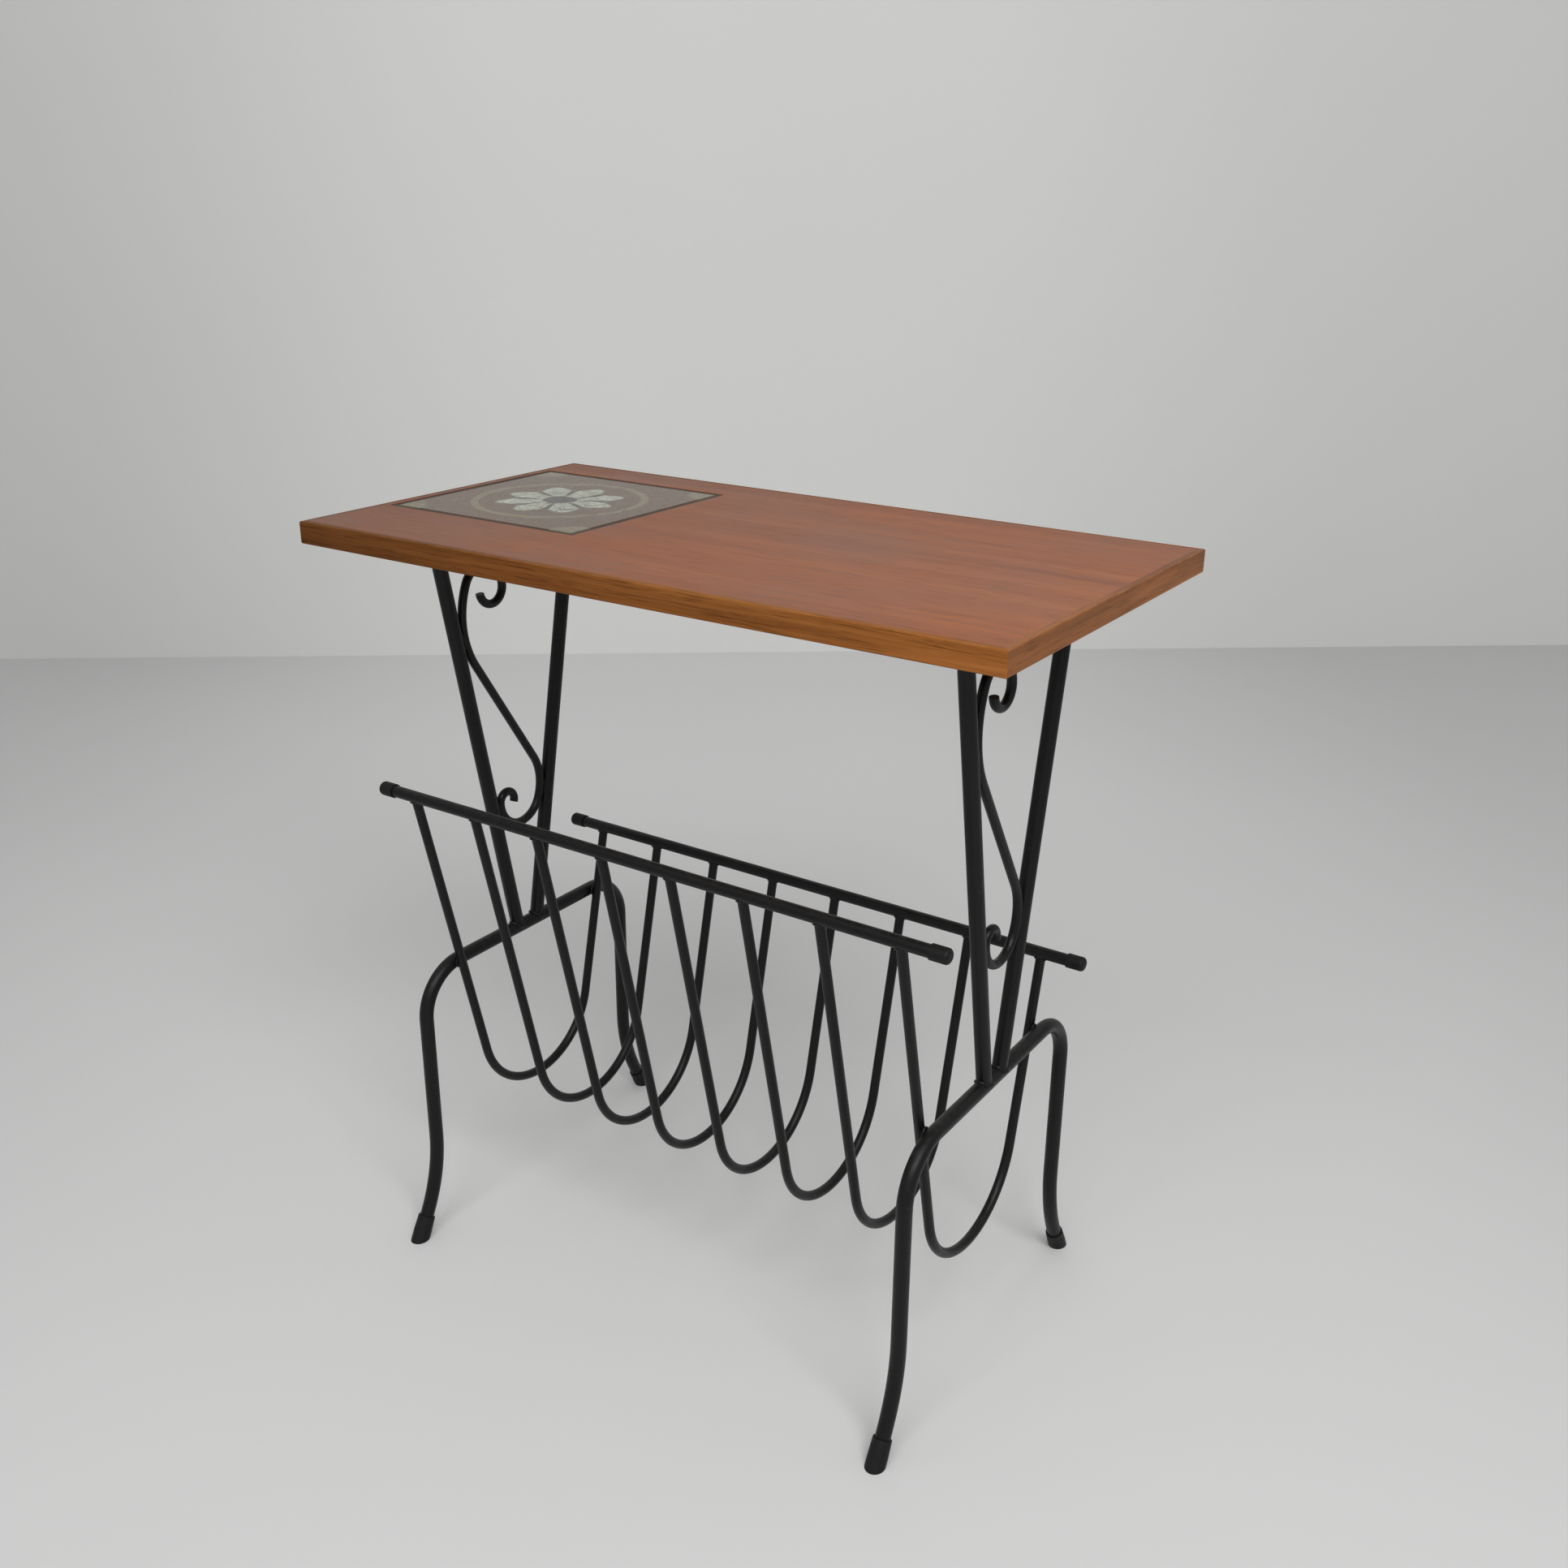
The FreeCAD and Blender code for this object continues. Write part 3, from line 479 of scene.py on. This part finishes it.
def glazed_tile():
    """A hand-painted glaze: a rosette of petals in a ring, and a quarter disc in each corner."""
    recipe = Recipe("tile_glaze")
    across, along = places_on_tile(recipe)
    petals, clefts, eye = rosette(recipe, across, along)
    ring, corners = ring_and_corners(recipe, across, along)
    strokes = recipe.noise(recipe.place, **GLAZE_STROKES)
    thin = recipe.span(strokes, NOISE_CORE)
    pale = recipe.mix(thin, GLAZE_PALE, GLAZE_PALE_THIN)
    colour = recipe.mix(thin, GLAZE_GROUND, GLAZE_GROUND_THIN)
    for cover in (ring, corners):
        colour = recipe.mix(cover, colour, GLAZE_OLIVE)
    colour = recipe.mix(petals, colour, pale)
    for cover in (clefts, eye, crazing(recipe)):
        colour = recipe.mix(cover, colour, GLAZE_LINE)
    return recipe.finish(
        base_color=colour,
        roughness=recipe.span(strokes, NOISE_RANGE, GLAZE_ROUGHNESS),
        specular_ior_level=GLAZE_SPECULAR,
        normal=recipe.bump(recipe.average(petals, strokes, GLAZE_PETAL_SHARE), GLAZE_DEPTH),
    )


# Materials of the CAD nodes

def paint(names, material):
    """Give CAD nodes a material in place of the one that they came with."""
    for name in names:
        nodes[name].data.materials.clear()
        nodes[name].data.materials.append(material)


def starting(*starts):
    """The names of the CAD nodes that start in one of these ways."""
    return [name for name in nodes if name.startswith(starts)]


steel = lacquered_steel()
rubber = moulded_rubber()
screw_steel = plain_steel()
paint(["face_veneer"], wood("teak_veneer", "x", **TEAK))
paint(["backing_veneer"], wood("backing_veneer", "x", **BACKING))
paint(["lipping_front", "lipping_rear"], wood("teak_lipping_long", "x", **LIPPING_LONG))
paint(["lipping_left", "lipping_right"], wood("teak_lipping_short", "y", **LIPPING_SHORT))
paint(["top_core"], chipboard())
paint(["tile"], glazed_tile())
paint(["tile_border"], filler("tile_border", BORDER_TONES))
paint(["tile_bed"], filler("tile_adhesive", ADHESIVE_TONES))
paint(starting("mounting_strap", "leg_arch", "upright", "scroll"), steel)
paint([*WIRES, "rail_front", "rail_rear"], steel)
paint(starting("foot_tip", "rail_tip"), rubber)


# Mesh building

SEAM_POINTS = 48


def turns(count):
    """A full turn in even steps."""
    return [FULL_TURN * index / count for index in range(count)]


def ellipse(centre, first, second, count=SEAM_POINTS):
    """Points about a centre, with two half axes."""
    return [centre + math.cos(turn) * first + math.sin(turn) * second for turn in turns(count)]


def add_ring(mesh, points):
    """The vertices of a ring of points."""
    return [mesh.verts.new(point) for point in points]


def join_rings(mesh, near, far):
    """Add a band of faces between two rings that have as many vertices."""
    for side in range(len(near)):
        mesh.faces.new((near[side - 1], near[side], far[side], far[side - 1]))


def finished(name, mesh):
    """The data of a mesh under construction, which ends here."""
    data = bpy.data.meshes.new(name)
    mesh.to_mesh(data)
    mesh.free()
    return data


def show(name, data):
    """An object of the scene, made from its data."""
    shown = bpy.data.objects.new(name, data)
    bpy.context.scene.collection.objects.link(shown)
    return shown


def new_piece(name, mesh, material):
    """A mesh under construction as a smooth piece that rides on the table."""
    bmesh.ops.recalc_face_normals(mesh, faces=mesh.faces)
    data = finished(name, mesh)
    data.materials.append(material)
    for polygon in data.polygons:
        polygon.use_smooth = True
    piece = show(name, data)
    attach(piece, "root")
    return piece


def middle(node):
    """The middle of a node's box."""
    low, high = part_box(node)
    return (low + high) / 2


def half_width(node, axis):
    """Half the width of a node's box along one axis, which is a rod's radius where the axis crosses it."""
    low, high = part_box(node)
    return (high - low).dot(axis) / 2


# Weld beads

BEAD_SIDES = 8
BEAD_RIPPLES_PER_METRE = 900
BEAD_RIPPLE_SHARE = 0.10
BEAD_SWELLS = 6
BEAD_SWELL_SHARE = 0.09
BEAD_END_SHARE = 0.04
BEAD_SEED = 7
bead_source = random.Random(BEAD_SEED)


def off_line(place, start, along):
    """The way to a place from a line, square to the line."""
    way = place - start
    return way - along * way.dot(along)


def bead_shares(seam, closed):
    """A bead's thickness along a seam, in shares of its radius: swells, ripples and thin open ends."""
    steps = len(seam) if closed else len(seam) - 1
    length = sum((after - before).length for before, after in zip(seam, seam[1:]))
    ripples = round(length * BEAD_RIPPLES_PER_METRE)
    phase = bead_source.uniform(0, FULL_TURN)
    swells = [bead_source.uniform(-BEAD_SWELL_SHARE, BEAD_SWELL_SHARE) for _ in range(BEAD_SWELLS)]
    shares = []
    for index in range(len(seam)):
        turn = FULL_TURN * index / steps
        swell = sum(size * math.cos(turn * wave) for wave, size in enumerate(swells, 1))
        share = 1 + swell + BEAD_RIPPLE_SHARE * math.sin(phase + turn * ripples)
        if not closed:
            share *= math.sqrt(max(math.sin(turn / 2), BEAD_END_SHARE))
        shares.append(share)
    return shares


def add_bead(mesh, seam, inner_point, radius, closed=True):
    """Add a bead of uneven thickness along a seam to a mesh under construction."""
    last = len(seam) - 1
    rings = []
    for index, (point, share) in enumerate(zip(seam, bead_shares(seam, closed))):
        before = seam[index - 1] if closed or index > 0 else point
        after = seam[(index + 1) % len(seam)] if closed or index < last else point
        along = (after - before).normalized()
        outward = radius * share * off_line(point, inner_point, along).normalized()
        rings.append(add_ring(mesh, ellipse(point, outward, along.cross(outward), BEAD_SIDES)))
    for near, far in zip(rings, rings[1:]):
        join_rings(mesh, near, far)
    if closed:
        join_rings(mesh, rings[-1], rings[0])
    else:
        mesh.faces.new(rings[0])
        mesh.faces.new(rings[-1])


def seam_on_rod(centre, axis, rod_axis, branch_radius, rod_radius):
    """Where a round branch, whose axis points at the rod's centre, meets the rod's surface."""
    sideways = rod_axis.cross(axis)
    points = []
    for turn in turns(SEAM_POINTS):
        off = branch_radius * math.cos(turn)
        depth = math.sqrt(max(rod_radius ** 2 - off ** 2, 0.0))
        points.append(centre - depth * axis + off * sideways + branch_radius * math.sin(turn) * rod_axis)
    return points


def crossbar(end):
    """The middle of a crossbar, and its radius."""
    arch = f"leg_arch_{end}"
    radius = half_width(arch, X_AXIS)
    return Vector((middle(arch).x, 0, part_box(arch)[1].z - radius)), radius


# Welds of the rack

RACK_BEAD = 1.0 * MM
TACK_BEAD = 1.1 * MM
TACK_HALF_WIDTH = 2.5 * MM
TACK_HALF_HEIGHT = 3.2 * MM


def weld_to_rail(mesh, wire, face):
    """A bead where a wire's arm meets a rail."""
    rail = f"rail_{face}"
    centre = middle(rail)
    centre.x = middle(wire).x
    lean = Vector((0, FACES[face] * math.sin(WIRE_LEAN), math.cos(WIRE_LEAN)))
    seam = seam_on_rod(centre, lean, X_AXIS, half_width(wire, X_AXIS), half_width(rail, Z_AXIS))
    add_bead(mesh, seam, sum(seam, Vector()) / len(seam), RACK_BEAD)


def tack_to_crossbar(mesh, wire, face, end):
    """A small oval bead where an end wire's arm touches the side of a crossbar."""
    bar, bar_radius = crossbar(end)
    rail = middle(f"rail_{face}")
    x = bar.x + math.copysign(bar_radius, middle(wire).x - bar.x)
    y = rail.y - FACES[face] * math.tan(WIRE_LEAN) * (rail.z - bar.z)
    touch = Vector((x, y, bar.z))
    oval = ellipse(touch, TACK_HALF_WIDTH * Y_AXIS, TACK_HALF_HEIGHT * Z_AXIS)
    add_bead(mesh, oval, touch, TACK_BEAD)


def weld_rack():
    """Beads where the wires meet the rails, and where the end wires are tacked to the crossbars."""
    mesh = bmesh.new()
    for wire in WIRES:
        for face in FACES:
            weld_to_rail(mesh, wire, face)
    for end, wire in zip(ENDS, (WIRES[0], WIRES[-1])):
        for face in FACES:
            tack_to_crossbar(mesh, wire, face, end)
    new_piece("welds_rack", mesh, steel)


# Welds of the end frames

FRAME_BEAD = 1.3 * MM
SADDLE_CLEARANCE = 0.2 * MM
RIM_TOLERANCE = 0.01 * MM
FILLET_BEAD = 1.1 * MM
FILLET_LENGTH = 12 * MM
FILLET_OFFSET = 2.3 * MM
FILLET_STEPS = 24

# The uprights that a scroll bears on, and whether it does so in their upper half
SCROLL_CONTACTS = (("front", True), ("rear", False), ("front", False))


def upright_line(end, face):
    """The foot of an upright's axis on the crossbar, its top under the strap, and its direction."""
    upright = f"upright_{face}_{end}"
    bar, _ = crossbar(end)
    foot = bar + FACES[face] * UPRIGHT_SPREAD_LOW / 2 * Y_AXIS
    top_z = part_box(upright)[1].z
    places = [vertex.co for vertex in nodes[upright].data.vertices]
    rim = [place.y for place in places if place.z > top_z - RIM_TOLERANCE]
    top = Vector((bar.x, (min(rim) + max(rim)) / 2, top_z))
    return foot, top, (top - foot).normalized()


def scroll_contact(end, face, upper):
    """Where a scroll bears on an upright, in its upper or lower half, and the upright's direction."""
    foot, top, axis = upright_line(end, face)
    half_height = (foot.z + top.z) / 2
    places = [vertex.co for vertex in nodes[f"scroll_{end}"].data.vertices]
    in_half = [place for place in places if (place.z > half_height) == upper]
    return min(in_half, key=lambda place: off_line(place, foot, axis).length), axis


def weld_upright(mesh, end, face):
    """Beads round an upright, on the crossbar and under the strap."""
    foot, top, axis = upright_line(end, face)
    _, bar_radius = crossbar(end)
    radius = half_width(f"upright_{face}_{end}", X_AXIS)
    saddle = seam_on_rod(foot, -axis, Y_AXIS, radius, bar_radius + SADDLE_CLEARANCE)
    add_bead(mesh, saddle, foot + 2 * radius * axis, FRAME_BEAD)
    oval = ellipse(top, radius * X_AXIS, radius / axis.z * Y_AXIS)
    add_bead(mesh, oval, top, FRAME_BEAD)


def weld_scroll(mesh, end, face, upper):
    """A fillet on each side of the place where a scroll bears on an upright."""
    point, axis = scroll_contact(end, face, upper)
    for side in (-1, 1):
        start = point + side * FILLET_OFFSET * X_AXIS - FILLET_LENGTH / 2 * axis
        seam = [start + FILLET_LENGTH * step / FILLET_STEPS * axis for step in range(FILLET_STEPS + 1)]
        add_bead(mesh, seam, point, FILLET_BEAD, closed=False)


def weld_frames():
    """Beads round the uprights at both ends, and fillets where the scrolls bear on them."""
    mesh = bmesh.new()
    for end in ENDS:
        for face in FACES:
            weld_upright(mesh, end, face)
        for face, upper in SCROLL_CONTACTS:
            weld_scroll(mesh, end, face, upper)
    new_piece("welds_frames", mesh, steel)


weld_rack()
weld_frames()


# Screws

SCREW_SHANK = 3.8 * MM
SCREW_POINT = 2.0 * MM
SLOT_WIDTH = 1.1 * MM
SLOT_DEPTH = 1.2 * MM
SLOT_TURNS = {"left": (0.3, 1.2, 2.6), "right": (2.1, 0.7, 1.6)}
DOME_STEPS = 8
SHARP_ANGLE = math.radians(35)


def screw_outline(node, head_top):
    """Radius and height pairs from a domed head's crown, round its rim and up the shank to the point."""
    low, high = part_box(node)
    head_radius = half_width(node, X_AXIS)
    outline = []
    for step in range(DOME_STEPS + 1):
        turn = math.pi / 2 * step / DOME_STEPS
        outline.append((head_radius * math.sin(turn), head_top - (head_top - low.z) * math.cos(turn)))
    outline.append((SCREW_SHANK / 2, head_top))
    outline.append((SCREW_SHANK / 2, high.z - SCREW_POINT))
    outline.append((0.0, high.z))
    return outline


def add_turned(mesh, x, y, outline):
    """Turn an outline, which starts and ends on its axis, into a closed skin."""
    centres = [Vector((x, y, height)) for _, height in outline]
    rings = []
    for (radius, _), centre in zip(outline[1:-1], centres[1:-1]):
        rings.append(add_ring(mesh, ellipse(centre, radius * X_AXIS, radius * Y_AXIS)))
    for near, far in zip(rings, rings[1:]):
        join_rings(mesh, near, far)
    for centre, ring in ((centres[0], rings[0]), (centres[-1], rings[-1])):
        tip = mesh.verts.new(centre)
        for side in range(len(ring)):
            mesh.faces.new((tip, ring[side - 1], ring[side]))


def add_slot(mesh, x, y, crown_z, head_radius, turn):
    """A bar across a head's crown, longer than the head is wide and with half its height in the head."""
    size = Matrix.Diagonal((4 * head_radius, SLOT_WIDTH, 2 * SLOT_DEPTH, 1))
    place = Matrix.Translation((x, y, crown_z)) @ Matrix.Rotation(turn, 4, "Z")
    bmesh.ops.create_cube(mesh, size=1.0, matrix=place @ size)


def saw_slots(screws, slots):
    """Cut bars out of the screws for good, and leave the cut edges sharp."""
    saw = show("saw", finished("saw", slots))
    cut = screws.modifiers.new("slots", "BOOLEAN")
    cut.operation = "DIFFERENCE"
    cut.object = saw
    sawn = bpy.data.meshes.new_from_object(screws.evaluated_get(bpy.context.evaluated_depsgraph_get()))
    sawn.set_sharp_from_angle(angle=SHARP_ANGLE)
    screws.modifiers.clear()
    screws.data = sawn
    bpy.data.objects.remove(saw)


def make_screws(end):
    """The round-headed, slotted screws of one strap, in place of the plain ones."""
    node = f"strap_screws_{end}"
    low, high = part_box(node)
    head_radius = half_width(node, X_AXIS)
    x = middle(node).x
    outline = screw_outline(node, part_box(f"mounting_strap_{end}")[0].z)
    blanks, slots = bmesh.new(), bmesh.new()
    last = len(SLOT_TURNS[end]) - 1
    for index, turn in enumerate(SLOT_TURNS[end]):
        y = low.y + head_radius + (high.y - low.y - 2 * head_radius) * index / last
        add_turned(blanks, x, y, outline)
        add_slot(slots, x, y, low.z, head_radius, turn)
    screws = new_piece(f"screws_{end}", blanks, screw_steel)
    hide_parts(node)
    saw_slots(screws, slots)


for end_name in ENDS:
    make_screws(end_name)


# Camera

CAMERA_PLACE = Vector((0.5649, -0.7894, 0.7391))
CAMERA_YAW = math.radians(-33.784)
CAMERA_PITCH = math.radians(21.257)
CAMERA_ROLL = math.radians(0.456)
SENSOR_WIDTH = 36.0
IMAGE_SIDE = 1932
FOCAL_PIXELS = 1958.7


def view_axes():
    """Right, up and forward of the camera."""
    forward = Vector((
        math.sin(CAMERA_YAW) * math.cos(CAMERA_PITCH),
        math.cos(CAMERA_YAW) * math.cos(CAMERA_PITCH),
        -math.sin(CAMERA_PITCH),
    ))
    level = Vector((math.cos(CAMERA_YAW), -math.sin(CAMERA_YAW), 0))
    rise = level.cross(forward)
    right = math.cos(CAMERA_ROLL) * level + math.sin(CAMERA_ROLL) * rise
    up = math.cos(CAMERA_ROLL) * rise - math.sin(CAMERA_ROLL) * level
    return right, up, forward


def make_camera():
    """A camera at the photograph's viewing angle."""
    right, up, forward = view_axes()
    data = bpy.data.cameras.new("camera")
    data.sensor_width = SENSOR_WIDTH
    data.lens = SENSOR_WIDTH * FOCAL_PIXELS / IMAGE_SIDE
    camera = show("camera", data)
    turn = Matrix((right, up, -forward)).transposed()
    camera.matrix_world = Matrix.Translation(CAMERA_PLACE) @ turn.to_4x4()
    bpy.context.scene.camera = camera


# Floor and wall

WALL_DISTANCE = 2.49
WALL_HEIGHT = 3.2
WALL_TURN = math.radians(3.4)
STAGE_HALF_WIDTH = 8.0
FLOOR_BEHIND_CAMERA = 6.0
FLOOR_TONE = (0.655, 0.655, 0.655)
# The side shares paint shade on the floor and wall: darker towards their left and right sides, where the
# lamps' light falls off
FLOOR_PAINTED_SHADE_SHARES = (0.82, 0.82)
WALL_TONE = (0.72, 0.72, 0.705)
WALL_PAINTED_SHADE_SHARES = (0.83, 0.92)
STAGE_CLOUD = {"scale": 2.5, "detail": 3}
STAGE_CLOUD_SHARE = 0.985
STAGE_ROUGHNESS = 0.9
STAGE_SPECULAR = 0.2

# How far to the side of the table the painted shade on the stage starts, and how far it goes on
PAINTED_SHADE_START = 0.2
PAINTED_SHADE_END = 1.1


def stage_paint(name, tone, aside, painted_shade_side_shares):
    """A matt wall or floor colour with a faint unevenness, and painted shade that darkens it towards its
    left and right sides.
    """
    recipe = Recipe(name)
    left_shade_share, right_shade_share = painted_shade_side_shares
    clouded = tuple(STAGE_CLOUD_SHARE * value for value in tone)
    colour = recipe.ramp(recipe.noise(recipe.place, **STAGE_CLOUD), NOISE_RANGE, (clouded, tone))
    sideways = recipe.add("VectorMath", {0: recipe.place, 1: aside}, operation="DOT_PRODUCT")
    off_middle = sideways.outputs["Value"]
    # Painted shade: darker towards the left and right sides, where the lamps' light falls off
    left = recipe.span(off_middle, (-PAINTED_SHADE_END, -PAINTED_SHADE_START), (left_shade_share, 1.0), smooth=True)
    right = recipe.span(off_middle, (PAINTED_SHADE_START, PAINTED_SHADE_END), (1.0, right_shade_share), smooth=True)
    colour = recipe.toned(colour, recipe.math("MULTIPLY", left, right))
    return recipe.finish(base_color=colour, roughness=STAGE_ROUGHNESS, specular_ior_level=STAGE_SPECULAR)


def make_backdrop():
    """A floor and a wall, almost square to the camera's view."""
    heading = CAMERA_YAW - WALL_TURN
    ahead = Vector((math.sin(heading), math.cos(heading), 0))
    aside = ahead.cross(Z_AXIS)
    ground = Vector((CAMERA_PLACE.x, CAMERA_PLACE.y, 0))
    profile = ((-FLOOR_BEHIND_CAMERA, 0.0), (WALL_DISTANCE, 0.0), (WALL_DISTANCE, WALL_HEIGHT))
    mesh = bmesh.new()
    rows = []
    for distance, height in profile:
        point = ground + distance * ahead + height * Z_AXIS
        rows.append([mesh.verts.new(point + side * STAGE_HALF_WIDTH * aside) for side in (-1, 1)])
    for near, far in zip(rows, rows[1:]):
        mesh.faces.new((*near, *reversed(far)))
    data = finished("backdrop", mesh)
    data.materials.append(stage_paint("floor_paint", FLOOR_TONE, aside, FLOOR_PAINTED_SHADE_SHARES))
    data.materials.append(stage_paint("wall_paint", WALL_TONE, aside, WALL_PAINTED_SHADE_SHARES))
    data.polygons[-1].material_index = 1
    backdrop = show("backdrop", data)


# Light

WORLD_STRENGTH = 0.5
LAMP_SIZE = 1.3
LAMP_TARGET = Vector((0.0, 0.0, 0.4))
LAMP_PLACES = {"softbox_left": (0.43, -2.05, 2.55), "softbox_right": (1.73, -1.18, 2.55)}
LAMP_WATTS = {"softbox_left": 24, "softbox_right": 43}


def make_world():
    """Even white light from all round."""
    world = bpy.data.worlds.new("studio")
    world.use_nodes = True
    background = world.node_tree.nodes["Background"]
    background.inputs["Color"].default_value = (1.0, 1.0, 1.0, 1.0)
    background.inputs["Strength"].default_value = WORLD_STRENGTH
    bpy.context.scene.world = world


def make_lamp(name):
    """A soft square lamp that faces the table."""
    data = bpy.data.lights.new(name, "AREA")
    data.size = LAMP_SIZE
    data.energy = LAMP_WATTS[name]
    lamp = show(name, data)
    lamp.location = LAMP_PLACES[name]
    lamp.rotation_mode = "QUATERNION"
    lamp.rotation_quaternion = (LAMP_TARGET - lamp.location).to_track_quat("-Z", "Y")


make_camera()
make_backdrop()
make_world()
for lamp_name in LAMP_PLACES:
    make_lamp(lamp_name)
bpy.context.scene.view_settings.view_transform = "Standard"
